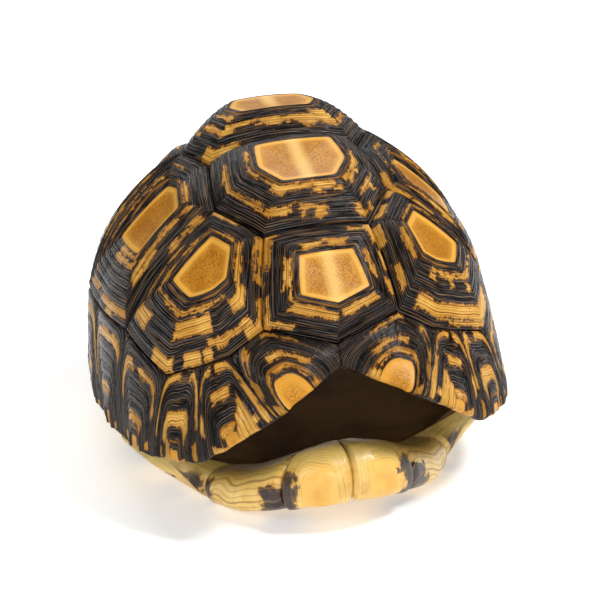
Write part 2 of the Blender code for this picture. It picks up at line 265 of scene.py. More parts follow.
# Marks are yellow patches: corner count from and to, growth from and to (0 at the first plate's
# edge, 1 at the seam). A fifth value makes the patch dark, over those before it.
upperScutes = {
    "vertebral_1": {
        "corners": ["nape", "v1c1m1", "v1v2c1", "v1v2c1-", "v1c1m1-"], "centre": (0, -55.6, 61.2),
        "share": 0.5, "bulge": 1.2, "dish": 0.3, "round": 0.025,
        "marks": [
            (2.2, 2.82, 0.14, 0.34), (3.2, 3.72, 0.2, 0.42), (1.3, 1.8, 0.22, 0.36),
            (4.1, 5.0, 0.26, 0.5), (5.08, 5.9, 0.24, 0.44), (3.8, 4.15, 0.2, 0.27),
            (3.02, 3.42, 0.74, 0.86), (3.04, 3.4, 0.9, 0.98), (3.7, 4.35, 0.78, 0.9),
            (3.55, 4.1, 0.93, 1.0), (1.15, 1.32, 0.7, 0.95), (1.42, 1.66, 0.8, 1.0),
            (1.78, 2.06, 0.72, 1.0), (2.06, 2.2, 0.66, 0.82), (2.88, 3.05, 0.84, 0.95),
            (2.44, 2.52, 0.1, 0.24, 0),
        ],
    },
    "vertebral_2": {
        "corners": ["v1v2c1", "v2c1c2", "v2v3c2", "v2v3c2-", "v2c1c2-", "v1v2c1-"],
        "centre": (0, -28.8, 82.2), "share": 0.5, "bulge": 1.6, "dish": 0.6, "round": 0.05,
        "marks": [
            (3.3, 5.3, 0.15, 0.22), (4.8, 5.5, 0.18, 0.3), (5.54, 5.88, 0.14, 0.32),
            (5.5, 5.93, 0.28, 0.42), (5.66, 5.78, 0.36, 0.5, 0), (0.1, 1.35, 0.16, 0.25),
            (0.2, 0.7, 0.2, 0.34), (3.35, 5.25, 0.6, 0.68), (4.7, 5.2, 0.64, 0.72),
            (5.36, 5.62, 0.62, 0.82), (5.42, 5.5, 0.72, 0.9, 0), (5.93, 6.04, 0.62, 0.9),
            (5.93, 6.3, 0.82, 0.9), (0.2, 0.95, 0.56, 0.64), (2.15, 2.5, 0.5, 0.7),
            (2.66, 2.8, 0.5, 0.66), (0.62, 0.7, 0.6, 0.8), (3.62, 3.75, 0.6, 0.75),
        ],
    },
    "vertebral_3": {
        "corners": ["v2v3c2", "v3c2c3", "v3v4c3", "v3v4c3-", "v3c2c3-", "v2v3c2-"],
        "centre": (0, 2.5, 88.4), "share": 0.46, "bulge": 1.6, "dish": 0.4, "round": 0.05,
        "marks": [
            (4.92, 6.04, 0.36, 0.56), (5.85, 6.12, 0.22, 0.6), (5.72, 5.8, 0.4, 0.64),
            (4.0, 4.95, 0.2, 0.28), (4.1, 5.02, 0.46, 0.56), (4.72, 5.2, 0.78, 1.0),
            (3.1, 4.2, 0.6, 0.7), (0.2, 0.8, 0.5, 0.62), (1.2, 1.8, 0.2, 0.3),
            (2.2, 2.9, 0.4, 0.55), (2.5, 3.5, 0.8, 0.9), (5.1, 5.3, 0.46, 0.62, 0),
        ],
    },
    "vertebral_4": {
        "corners": ["v3v4c3", "v4c3c4", "v4v5c4", "v4v5c4-", "v4c3c4-", "v3v4c3-"],
        "centre": (0, 32, 75.5), "share": 0.46, "bulge": 1.5, "dish": 0.5, "round": 0.05,
        "marks": [
            (0.15, 1.7, 0.16, 0.24), (2.1, 2.9, 0.18, 0.36), (3.2, 4.7, 0.16, 0.25),
            (5.2, 5.8, 0.2, 0.34), (0.3, 1.1, 0.6, 0.7), (1.85, 2.3, 0.6, 0.8),
            (2.65, 3.15, 0.62, 0.8), (4.2, 5.1, 0.6, 0.7), (5.45, 5.7, 0.7, 0.85),
            (1.4, 1.7, 0.84, 1.0), (3.5, 3.75, 0.84, 1.0), (2.45, 2.55, 0.2, 0.45, 0),
        ],
    },
    "vertebral_5": {
        "corners": ["v4v5c4", "v5c4m11", "v5m11s", "v5m11s-", "v5c4m11-", "v4v5c4-"],
        "centre": (0, 58.5, 57), "share": 0.42, "bulge": 1.3, "dish": 0.5, "round": 0.05,
        "marks": [
            (0.2, 0.9, 0.18, 0.34), (1.3, 1.9, 0.16, 0.28), (2.1, 2.9, 0.2, 0.4),
            (3.2, 3.9, 0.16, 0.28), (4.2, 4.8, 0.2, 0.34), (5.2, 5.8, 0.16, 0.3),
            (0.5, 0.8, 0.6, 0.76), (1.8, 2.2, 0.6, 0.8), (2.75, 3.2, 0.6, 0.78),
            (4.4, 4.7, 0.6, 0.75), (5.4, 5.6, 0.7, 0.9), (2.3, 2.7, 0.8, 1.0),
        ],
    },
    "costal_1": {
        "corners": ["v1v2c1", "v2c1c2", "m4m5", "m3m4", "m2m3", "m1m2", "v1c1m1"],
        "centre": (27.8, -45.5, 62.3), "share": 0.39, "bulge": 1.7, "dish": 1.0, "round": 0.05,
        "marks": [
            (6.2, 6.85, 0.24, 0.38), (2.2, 5.4, 0.2, 0.28), (0.1, 1.9, 0.17, 0.22),
            (2.5, 5.7, 0.64, 0.86), (2.5, 4.4, 0.86, 0.94), (3.1, 3.3, 0.34, 0.46),
            (4.0, 4.3, 0.3, 0.42), (5.2, 5.5, 0.28, 0.4), (6.1, 6.4, 0.7, 0.86),
            (0.1, 0.5, 0.78, 0.92), (6.7, 6.95, 0.8, 1.0), (0.7, 1.0, 0.8, 1.0),
            (1.3, 1.8, 0.5, 0.58), (2.3, 2.42, 0.2, 0.32, 0), (3.6, 3.72, 0.16, 0.3, 0),
            (4.5, 4.62, 0.16, 0.3, 0), (5.0, 5.1, 0.16, 0.3, 0),
        ],
        "marksRight": [
            (6.18, 6.9, 0.26, 0.42), (5.55, 6.25, 0.3, 0.56), (3.0, 4.65, 0.34, 0.58),
            (1.6, 2.9, 0.18, 0.24), (2.4, 5.6, 0.19, 0.26), (0.1, 1.9, 0.17, 0.22),
            (1.95, 2.35, 0.5, 0.72), (4.7, 5.9, 0.72, 0.84), (2.7, 3.2, 0.78, 0.97),
            (3.5, 4.5, 0.78, 0.97), (4.4, 4.9, 0.7, 0.8), (5.9, 6.3, 0.86, 1.0),
            (6.45, 7.0, 0.78, 0.84), (6.45, 7.0, 0.88, 0.98), (0.75, 1.0, 0.78, 1.0),
            (5.6, 5.9, 0.84, 1.0), (0.45, 0.7, 0.8, 0.9), (1.4, 1.9, 0.5, 0.56),
            (4.05, 4.15, 0.8, 1.0, 0), (3.3, 3.55, 0.7, 0.98, 0), (5.3, 5.38, 0.18, 0.28, 0),
            (4.9, 5.0, 0.14, 0.28, 0), (4.4, 4.5, 0.14, 0.28, 0), (3.7, 3.8, 0.14, 0.28, 0),
        ],
    },
    "costal_2": {
        "corners": ["v2c1c2", "v2v3c2", "v3c2c3", "c2c3m6", "m5m6", "m4m5"],
        "centre": (35, -11.5, 66), "share": 0.42, "bulge": 1.7, "dish": 1.0, "round": 0.05,
        "marks": [
            (5.2, 6.7, 0.2, 0.3), (5.3, 5.9, 0.42, 0.56), (4.1, 5.0, 0.2, 0.3),
            (0.2, 1.6, 0.5, 0.58), (2.2, 2.9, 0.3, 0.38), (4.2, 5.1, 0.6, 0.72),
            (3.1, 3.9, 0.66, 0.8), (4.3, 4.9, 0.82, 0.95), (5.6, 6.3, 0.8, 0.94),
            (1.3, 1.9, 0.16, 0.24), (2.4, 3.3, 0.7, 0.78),
        ],
        "marksRight": [
            (5.1, 6.0, 0.36, 0.5), (6.1, 6.85, 0.2, 0.4), (4.05, 5.1, 0.05, 0.24),
            (0.1, 1.3, 0.14, 0.19), (2.1, 3.0, 0.3, 0.37), (2.3, 3.2, 0.56, 0.62),
            (4.15, 5.0, 0.74, 0.86), (4.4, 4.6, 0.8, 0.97), (5.15, 5.5, 0.55, 0.66),
            (3.2, 3.9, 0.7, 0.82), (5.6, 5.9, 0.82, 0.96), (1.4, 2.0, 0.5, 0.6),
            (4.2, 5.0, 0.1, 0.14, 0),
        ],
    },
    "costal_3": {
        "corners": ["v3c2c3", "v3v4c3", "v4c3c4", "m7m8", "m6m7", "c2c3m6"],
        "centre": (33.5, 17, 64.5), "share": 0.42, "bulge": 1.7, "dish": 1.0, "round": 0.05,
        "marks": [
            (5.1, 6.0, 0.3, 0.44), (0.2, 0.9, 0.18, 0.34), (1.2, 2.4, 0.2, 0.28),
            (3.1, 4.9, 0.18, 0.28), (2.3, 2.9, 0.5, 0.62), (3.2, 3.8, 0.56, 0.74),
            (4.3, 4.9, 0.56, 0.74), (5.3, 5.8, 0.72, 0.84), (0.4, 0.8, 0.66, 0.8),
            (3.4, 4.6, 0.86, 0.97), (1.6, 1.9, 0.7, 0.95), (3.9, 4.05, 0.8, 1.0, 0),
        ],
    },
    "costal_4": {
        "corners": ["v4c3c4", "v4v5c4", "v5c4m11", "m10m11", "m9m10", "m8m9", "m7m8"],
        "centre": (27, 45, 54), "share": 0.42, "bulge": 1.6, "dish": 1.0, "round": 0.05,
        "marks": [
            (6.2, 6.9, 0.22, 0.38), (0.2, 0.9, 0.18, 0.3), (1.2, 1.9, 0.2, 0.36),
            (2.3, 5.7, 0.22, 0.32), (2.6, 3.2, 0.56, 0.74), (4.0, 4.8, 0.56, 0.74),
            (5.4, 5.9, 0.6, 0.76), (0.4, 0.8, 0.7, 0.84), (6.3, 6.7, 0.7, 0.84),
            (3.3, 3.8, 0.84, 1.0), (5.1, 5.5, 0.86, 1.0), (1.5, 1.8, 0.7, 0.9),
        ],
    },
}


def outlineOf(corners, spacing):
    points, turns = [], []
    for index, name in enumerate(corners):
        start, end = cornerAt(name), cornerAt(corners[(index + 1) % len(corners)])
        count = max(8, int(np.linalg.norm(end - start) / spacing))
        parts = np.arange(count) / count
        points.append(archedSeam(start, end, parts))
        turns.append(index + parts)
    return np.concatenate(points), np.concatenate(turns)


def softened(loop, width):
    kernel = np.hanning(width + 2)[1:-1]
    kernel = kernel / kernel.sum()
    reach = len(kernel) // 2
    wide = np.concatenate([loop[-reach:], loop, loop[: len(kernel) - 1 - reach]])
    return np.stack([np.convolve(wide[:, axis], kernel, "valid") for axis in range(3)], 1)


def patchField(patches, turn, grow, corners, edgeLength, reachLength):
    field = np.full(turn.shape, -9.0)
    for patch in patches:
        turn0, turn1, grow0, grow1 = patch[:4]
        middle, half = (turn0 + turn1) / 2, (turn1 - turn0) / 2
        away = np.abs((turn - middle + corners / 2) % corners - corners / 2)
        side = (half - away) * edgeLength if half < corners / 2 else 9.0
        band = np.minimum(grow - grow0, grow1 - grow) * reachLength
        inside = np.minimum(side, band)
        if len(patch) > 4:
            field = np.minimum(field, -inside)
        else:
            field = np.maximum(field, inside)
    return field


def upperScute(name, mirrored):
    layout = upperScutes[name.replace("_left", "").replace("_right", "")]
    seam, turn = outlineOf(layout["corners"], scute["spacing"])
    count = len(turn)
    corners = len(layout["corners"])
    centre = np.array(layout["centre"], float)
    coarse = outlineOf(layout["corners"], 4.0)[0]
    middle = coarse.mean(0)
    up = outwardOf(centre)
    arm = (seam - middle) * layout["share"]
    plate = centre + arm - up * (arm @ up)[:, None] * 0.75
    plate = softened(plate, int(count * layout["round"]))
    reach = np.linalg.norm(seam - plate, axis=1)
    reachMean = float(reach.mean())
    edgeSteps = np.linalg.norm(np.roll(seam, -1, 0) - seam, axis=1)
    arc = np.concatenate([[0], np.cumsum(edgeSteps)[:-1]])

    inRows = max(10, int(np.linalg.norm(plate - centre, axis=1).mean() / scute["plateRowStep"]))
    outRows = int(reach.max() / scute["rowStep"])
    inside = np.linspace(0, 1, inRows, endpoint=False)[:, None]
    grow = np.linspace(0, 1, outRows + 1)[:, None]
    push = layout["bulge"]

    plateTop = centre + (plate - centre) * inside[..., None]
    dish = -scute["plateDish"] * (1 - inside**2) * (1 - blend(0.8, 1.0, inside)) * layout["dish"]
    plateTop = plateTop + up * (dish * np.ones(count))[..., None]
    slope = plate + (seam - plate) * grow[..., None]
    rings = grow * max(4, round(reachMean / scute["ringWidth"]))
    wobble = scute["wobble"] * ripple(turn / corners * 3, len(name) + ord(name[-1]) * 0.1)
    phase = rings + wobble * blend(0, 0.15, grow) * blend(1, 0.85, grow)
    terrace = np.abs(np.sin(np.pi * phase)) ** 0.7 * scute["terrace"]
    fine = np.abs(np.sin(np.pi * phase * 3.0)) ** 0.8 * scute["fineLine"]
    edge = (1 - grow) * reach
    roll = np.clip(1 - edge / scute["rollWidth"], 0, 1) ** 2 * scute["rollDepth"]
    shelf = scute["plateStep"] * (1 - blend(0.0, 0.06, grow))
    swell = push * 4 * grow * (1 - grow) * (1 - 0.35 * grow)
    height = swell + (terrace + fine) * blend(0, 0.05, grow) * blend(0, 1.0, edge)
    height = height + shelf - roll
    slope = slope + outwardOf(slope) * height[..., None]
    plateTop = plateTop + outwardOf(plateTop) * scute["plateStep"]

    inward = unitOf(middle - slope[-1])
    slope[-1] = slope[-1] + inward * scute["gap"]
    top = np.concatenate([plateTop, slope])
    foot = slope[-1] - outwardOf(slope[-1]) * (scute["thickness"] - 0.5)
    base = [foot]
    for share in (0.6, 0.25, 0.0):
        level = plate + (seam - plate) * share
        base.append(level - outwardOf(level) * scute["thickness"])
    base.append(np.repeat((centre - up * scute["thickness"])[None], count, 0))
    rows = np.concatenate([top, np.array(base)])
    rows = np.concatenate([rows, rows[:, :1]], 1)

    allGrow = np.concatenate([inside - 1, grow, np.ones((5, 1))]) * np.ones((1, count + 1))
    turnWide = np.concatenate([turn, [corners]])[None] * np.ones((len(rows), 1))
    reachWide = np.concatenate([reach, reach[:1]])[None]
    spread = layout["share"] + (1 - layout["share"]) * np.clip(allGrow, 0, 1)
    edgeLength = edgeSteps.sum() / corners * spread
    marks = layout["marks"] if not mirrored else layout.get("marksRight", layout["marks"])
    field = patchField(marks, turnWide, allGrow, corners, edgeLength, reachWide)
    plateRadius = np.linalg.norm(plate - centre, axis=1).mean()
    plateField = np.where(allGrow < 0, -allGrow * plateRadius, -allGrow * reachWide)
    arcWide = np.concatenate([arc, [arc[-1] + edgeSteps[-1]]])[None] * np.ones((len(rows), 1))
    phaseRows = np.concatenate([np.zeros((inRows, count)), phase, np.repeat(phase[-1:], 5, 0)])
    phaseRows = np.concatenate([phaseRows, phaseRows[:, :1]], 1)
    grain = np.stack([arcWide, np.clip(allGrow, 0, 1) * reachWide, phaseRows], -1)
    if mirrored:
        rows = rows * np.array((-1, 1, 1))
    data = {"pale": field, "plate": plateField, "grain": grain, "across": np.abs(rows[..., 0])}
    return makeSheet("scute_" + name, rows, data, "domeHorn", [name])


# ---- marginal scutes ----

rim = {
    "bulge": 1.0, "rowStep": 0.36, "columnStep": 0.36, "thickness": 1.1, "terrace": 0.36, "fineLine": 0.14,
    "rollWidth": 1.0, "rollDepth": 0.5, "gap": 0.04, "backGap": 0.3, "sway": 0.5, "foldRows": 1.45,
    "frontArch": 2.7, "arch": 6.0, "rings": 8.0,
    "section": [  # height as a share, then depth in mm, from the seam down round the rim
        (1, 0), (0.8, 0), (0.6, 0), (0.4, 0), (0.2, 0), (0.1, 0.0), (0.04, 0.25), (0.008, 0.9),
        (0.005, 1.9), (0.04, 3.0), (0.1, 4.1), (0.2, 5.1), (0.32, 5.7), (0.45, 6.0),
    ],
    "bridgeSection": [(1, 0), (0.8, 0), (0.6, 0), (0.4, 0), (0.2, 0), (0.02, 0.05)],
}

# top seam points, rim points, first plate's centre along the rim, its share, then yellow patches:
# turn round the plate from and to (0 toward the first end, 1 toward the last), growth from and to;
# a fifth value makes the patch dark
marginals = {
    1: (["nape", "v1c1m1", "m1m2"], ["notch", "rim12"], 0.68, 0.38, [
        (0.55, 0.96, 0.08, 0.24), (0.16, 0.5, 0.12, 0.2), (0.2, 0.47, 0.34, 0.52), (0.86, 0.98, 0.2, 0.62),
        (0.56, 0.98, 0.82, 0.97), (0.3, 0.44, 0.86, 0.95), (0.0, 0.08, 0.06, 0.3), (0.7, 0.8, 0.66, 0.8),
        (0.62, 0.68, 0.84, 0.98, 0),
    ]),
    2: (["m1m2", "m2m3"], ["rim12", "rim23"], 0.5, 0.16, [
        (0.3, 0.7, 0.84, 0.95), (0.02, 0.3, 0.78, 0.95), (0.0, 0.34, 0.0, 0.52), (0.4, 0.6, 0.46, 0.6),
        (0.88, 1.0, 0.0, 0.5), (0.34, 0.7, 0.0, 0.12), (0.74, 0.82, 0.7, 0.9), (0.1, 0.16, 0.36, 0.7),
        (0.5, 0.56, 0.8, 1.0, 0),
    ]),
    3: (["m2m3", "m3m4"], ["rim23", "rim34"], 0.5, 0.16, [
        (0.28, 0.74, 0.86, 0.97), (0.34, 0.7, 0.3, 0.5), (0.6, 1.0, 0.0, 0.3), (0.04, 0.22, 0.72, 0.86),
        (0.78, 0.94, 0.5, 0.66),
        (0.0, 0.14, 0.0, 0.3), (0.88, 1.0, 0.1, 0.4), (0.44, 0.5, 0.84, 1.0, 0),
    ]),
    4: (["m3m4", "m4m5"], ["rim34", "rim45"], 0.5, 0.16, [
        (0.3, 0.72, 0.72, 0.84), (0.8, 0.92, 0.3, 0.5), (0.08, 0.18, 0.4, 0.66), (0.36, 0.6, 0.18, 0.3),
        (0.0, 0.2, 0.0, 0.16), (0.5, 0.55, 0.7, 0.86, 0),
    ]),
    5: (["m4m5", "m5m6"], ["rim45", "rim56"], 0.5, 0.16, [
        (0.36, 0.76, 0.76, 0.86), (0.84, 0.93, 0.3, 0.6), (0.06, 0.14, 0.34, 0.56), (0.4, 0.64, 0.2, 0.32),
    ]),
    6: (["m5m6", "c2c3m6", "m6m7"], ["rim56", "rim67"], 0.5, 0.16, [
        (0.26, 0.5, 0.8, 0.9), (0.56, 0.76, 0.72, 0.84), (0.05, 0.13, 0.3, 0.66), (0.86, 0.95, 0.2, 0.5),
        (0.4, 0.6, 0.2, 0.3),
    ]),
    7: (["m6m7", "m7m8"], ["rim67", "rim78"], 0.5, 0.16, [
        (0.3, 0.7, 0.78, 0.88), (0.06, 0.14, 0.2, 0.6), (0.84, 0.95, 0.4, 0.6), (0.36, 0.62, 0.24, 0.34),
    ]),
    8: (["m7m8", "m8m9"], ["rim78", "rim89"], 0.5, 0.16, [
        (0.32, 0.78, 0.76, 0.86), (0.04, 0.12, 0.4, 0.7), (0.86, 0.95, 0.2, 0.5), (0.4, 0.6, 0.2, 0.3),
    ]),
    9: (["m8m9", "m9m10"], ["rim89", "rim910"], 0.5, 0.16, [
        (0.26, 0.7, 0.8, 0.9), (0.05, 0.15, 0.24, 0.6), (0.8, 0.92, 0.5, 0.76), (0.38, 0.66, 0.26, 0.36),
    ]),
    10: (["m9m10", "m10m11"], ["rim910", "rim1011"], 0.5, 0.16, [
        (0.3, 0.72, 0.76, 0.88), (0.0, 0.1, 0.3, 0.6), (0.88, 1.0, 0.2, 0.5), (0.4, 0.6, 0.24, 0.34),
    ]),
    11: (["m10m11", "v5c4m11", "v5m11s"], ["rim1011", "rim11s"], 0.5, 0.16, [
        (0.24, 0.46, 0.8, 0.92), (0.56, 0.76, 0.78, 0.9), (0.05, 0.14, 0.2, 0.6), (0.86, 0.95, 0.3, 0.6),
        (0.4, 0.6, 0.24, 0.36),
    ]),
    12: (["v5m11s", "v5m11s-"], ["rim11s", "rim11s-"], 0.5, 0.16, [
        (0.22, 0.42, 0.78, 0.9), (0.6, 0.78, 0.78, 0.9), (0.06, 0.16, 0.2, 0.6), (0.84, 0.94, 0.2, 0.6),
        (0.42, 0.58, 0.26, 0.36),
    ]),
}
bridgeNumbers = range(4, 9)


def cubic(p0, p1, p2, p3, part):  # smooth curve from p1 to p2, shaped by their neighbours
    return 0.5 * (
        2 * p1 + (p2 - p0) * part + (2 * p0 - 5 * p1 + 4 * p2 - p3) * part**2
        + (3 * p1 - p0 - 3 * p2 + p3) * part**3
    )


def rounded(points, count):
    points = np.array(points, float)
    knots = np.arange(len(points))
    fine = np.linspace(0, len(points) - 1, count)
    before = np.clip(fine.astype(int) - 1, 0, len(points) - 1)
    here = np.clip(fine.astype(int), 0, len(points) - 1)
    after = np.clip(here + 1, 0, len(points) - 1)
    beyond = np.clip(here + 2, 0, len(points) - 1)
    part = (fine - knots[here])[:, None]
    return cubic(points[before], points[here], points[after], points[beyond], part)


def foldedSheet(outer, inner):
    pinchTop = (outer[:1] + inner[:1]) / 2
    pinchEnd = (outer[-1:] + inner[-1:]) / 2
    front = np.concatenate([pinchTop, outer, pinchEnd])
    back = np.concatenate([pinchTop, inner, pinchEnd])
    return np.concatenate([front, back[:, ::-1], front[:, :1]], 1)


def foldedMark(values, backValue=None):
    front = np.concatenate([values[:1], values, values[-1:]])
    back = front[:, ::-1] if backValue is None else np.full_like(front, backValue)
    return np.concatenate([front, back, front[:, :1]], 1)


def marginalScute(number, name, mirrored):
    top, low, plateAt, share, patches = marginals[number]
    free = number not in bridgeNumbers
    ends = np.stack([alongSeam(low, [0.0, 1.0]), alongSeam(top, [0.0, 1.0])])
    width = np.linalg.norm(ends[:, 1] - ends[:, 0], axis=-1).max()
    columns = max(24, int(width / rim["columnStep"]))
    part = np.linspace(0, 1, columns)
    lowLine, topLine = alongSeam(low, part), alongSeam(top, part)
    sway = rim["sway"] * ripple(part * 1.2, number, 2) * blend(0, 0.12, part) * blend(1, 0.88, part)
    lowLine = lowLine + unitOf(topLine - lowLine) * (sway if free else 0 * sway)[:, None]
    tall = np.linalg.norm(topLine - lowLine, axis=1)
    rowCount = int(tall.mean() / rim["rowStep"] * (rim["foldRows"] if free else 1))
    section = rounded(rim["section" if free else "bridgeSection"], rowCount)
    height, depth = section[:, :1], section[:, 1:]
    sectionMm = section * (tall.mean(), 1)
    strides = np.linalg.norm(np.diff(sectionMm, axis=0), axis=1)
    lengthwise = np.concatenate([[0], np.cumsum(strides)])
    run = np.gradient(sectionMm, axis=0)
    side = unitOf(np.stack([-run[:, 1], run[:, 0]], 1))
    side = side * np.sign(side[0, 1] or 1)

    def place(height, depth):
        point = lowLine[None] + (topLine - lowLine)[None] * height[..., None]
        return point + outwardOf(point) * (4 * height * (1 - height) * rim["bulge"] - depth)[..., None]

    under = np.maximum(0, (lengthwise - tall.mean())[:, None])  # how far past the rim, in mm
    wide = np.abs(part - plateAt) / np.where(part < plateAt, plateAt, 1 - plateAt)
    lift = np.clip(height, 0, 1) * np.ones(columns)
    arch = rim["frontArch"] if number == 1 else rim["arch"]
    growth = (wide[None] ** arch + lift**arch + 1e-9) ** (1 / arch)
    grow = (growth - share) / (1 - share)
    phase = np.clip(grow, 0, 1.4) * rim["rings"] + 0.1 * ripple(lift * 2 + part[None] * 1.3, number)
    turn = np.arctan2(lift * tall.mean() + 0.01, (plateAt - part)[None] * width) / math.pi
    active = blend(0, 0.06, grow) * (1 - blend(0, 2.5, under))
    terrace = np.abs(np.sin(np.pi * phase)) ** 0.7 * rim["terrace"]
    terrace = (terrace + np.abs(np.sin(np.pi * phase * 3)) ** 0.8 * rim["fineLine"]) * active
    sideMm = np.minimum(part, 1 - part)[None] * width
    topMm = (1 - height) * tall[None]
    edge = np.minimum(sideMm, np.where(height > 0.3, topMm, 99))
    groove = np.clip(1 - edge / rim["rollWidth"], 0, 1) ** 2 * rim["rollDepth"]
    puff = 0.5 * (1 - blend(0, 0.4, grow)) * (1 - blend(0, 3, under))
    lifted = depth - (terrace - groove + puff)
    outer = place(height * np.ones(columns), lifted)
    innerHeight = section[:, 0] + side[:, 0] * rim["thickness"] / tall.mean()
    innerDepth = section[:, 1] + side[:, 1] * rim["thickness"] + rim["backGap"]
    inner = place(innerHeight[:, None] * np.ones(columns), innerDepth[:, None] * np.ones(columns))
    for sheet in (outer, inner):
        sheet[:, 0] += unitOf(sheet[:, 1] - sheet[:, 0]) * rim["gap"]
        sheet[:, -1] += unitOf(sheet[:, -2] - sheet[:, -1]) * rim["gap"]
    field = np.full(grow.shape, -9.0)
    for patch in patches:
        across = np.minimum(turn - patch[0], patch[1] - turn) * 3.1 * growth * tall.mean()
        along = np.minimum(grow - patch[2], patch[3] - grow) * (1 - share) * tall.mean()
        inside = np.minimum(across, along)
        field = np.minimum(field, -inside) if len(patch) > 4 else np.maximum(field, inside)
    field = np.maximum(field, under - 1.2) if free else field
    plate = -grow * tall.mean() * (1 - share) * 0.7
    grain = np.stack([
        (part[None] * width + lift * 3) * np.ones_like(grow), np.clip(grow, 0, 1) * tall.mean(), phase], -1)
    data = {
        "pale": foldedMark(field), "plate": foldedMark(plate - under * 0.2),
        "grain": foldedMark(grain), "across": foldedMark(np.full(grow.shape, 30.0)),
    }
    rows = foldedSheet(outer, inner)
    if mirrored:
        rows = rows * np.array((-1, 1, 1))
    return makeSheet("scute_" + name, rows, data, "rimHorn", [name])


# ---- plastron scutes ----

ribs = [
    (-49, (0, -61), False),
    (-49, (4.5, -60.8), False),
    (-49, (9, -59), False),
    (-49, (12.5, -55.8), False),
    (-46, (17, -52), False),
    (-43, (21.5, -47.5), False),
    (-39, (25, -42.5), False),
    (-35, (28, -38), False),
    (-33, (30.5, -33), True),
    (-30, (32, -26), True),
    (-27, (32.5, -17), True),
    (-18, (33, -6), True),
    (-6, (33, 6), True),
    (6, (33, 17), True),
    (16, (32, 27), True),
    (19, (30.5, 34), True),
    (23, (28, 40), False),
    (28, (26.5, 46), False),
    (34, (24.5, 52), False),
    (38, (21.5, 57), False),
    (43, (18, 61), False),
    (48, (13.5, 64), False),
    (52, (8, 64.5), False),
    (54.5, (3.5, 60.5), False),
    (55, (0, 57.5), False),
]
plastron = {
    "frontRoll": 6.0, "sideRoll": 3.6, "rearRoll": 3.4, "frontRise": 7.5, "rearRise": 2.5,
    "middleRib": 12, "samples": 61, "rows": 80,
    "columnStep": 0.45, "thickness": 1.1, "gap": 0.05, "line": 0.1, "rollWidth": 1.0, "rollDepth": 0.4,
    "noPlate": 99.0,
}


def undersideAt(y):
    front = max(0.0, (-44 - y) / 18) ** 1.5 * plastron["frontRise"]
    rear = max(0.0, (y - 41) / 23) ** 1.5 * plastron["rearRise"]
    return front + rear


def rimAt(y):
    table = alongSeam(["rim34", "rim45", "rim56", "rim67", "rim78", "rim89"], np.linspace(0, 1, 11))
    return np.array([np.interp(y, table[:, 1], table[:, axis]) for axis in range(3)])


def ribSection(index):
    middleY, (foldX, foldY), climbs = ribs[index]
    start = np.array((0, middleY, undersideAt(middleY)))
    fold = np.array((foldX, foldY, undersideAt(foldY)))
    up = np.array((0, 0, 1.0))
    flat = np.linspace(0, 1, plastron["samples"] // 2, endpoint=False)[:, None]
    bent = np.linspace(0, 1, plastron["samples"] - len(flat))
    points = [start + (fold - start) * flat]
    inward = [np.repeat(up[None], len(flat), 0)]
    if climbs:
        end = rimAt(foldY)
        knee = fold + (end - fold) * 0.5 + np.array((2.0, 0, -2.2))
        part = bent[:, None]
        curve = fold * (1 - part) ** 2 + knee * 2 * part * (1 - part) + end * part**2
        points.append(curve)
        inward.append(unitOf(up * (1 - part) - outwardOf(curve) * part))
    else:
        before = np.array(ribs[max(index - 1, 0)][1], float)
        after = np.array(ribs[min(index + 1, len(ribs) - 1)][1], float)
        run = unitOf(after - before)
        out = np.array((run[1], -run[0], 0.0))
        if index in (0, len(ribs) - 1):
            out = np.array((0, -1.0 if index == 0 else 1.0, 0))
        radius = plastron["rearRoll"]
        if index < plastron["middleRib"]:
            taper = min(max(index - 3, 0) / 5, 1)
            radius = plastron["frontRoll"] + (plastron["sideRoll"] - plastron["frontRoll"]) * taper
        hub = fold + up * radius
        turn = np.radians(np.minimum(bent / 0.8, 1) * 180)[:, None]
        spoke = out * np.sin(turn) - up * np.cos(turn)
        slide = np.maximum(0, bent - 0.8)[:, None] / 0.2 * radius * 1.2
        points.append(hub + spoke * radius - out * slide)
        inward.append(-spoke)
    return np.concatenate(points), np.concatenate(inward)


ribCurves = [ribSection(index) for index in range(len(ribs))]
ribPoints = np.array([curve[0] for curve in ribCurves])
ribInward = np.array([curve[1] for curve in ribCurves])


def plastronPoint(rib, share):
    rib, share = np.broadcast_arrays(rib, share)
    row = np.clip(rib, 0, len(ribs) - 1.0001)
    low = row.astype(int)
    part = (row - low)[..., None]
    column = np.clip(share, 0, 1) * (plastron["samples"] - 1)
    left = np.minimum(column.astype(int), plastron["samples"] - 2)
    slide = (column - left)[..., None]

    def pick(table, index):
        index = np.clip(index, 0, len(ribs) - 1)
        return table[index, left] * (1 - slide) + table[index, left + 1] * slide

    def sweep(table):
        p0, p1, p2, p3 = (pick(table, low + step) for step in (-1, 0, 1, 2))
        curve = cubic(p0, p1, p2, p3, part)
        straight = p1 + (p2 - p1) * part
        return curve * 0.6 + straight * 0.4

    return sweep(ribPoints), unitOf(sweep(ribInward))


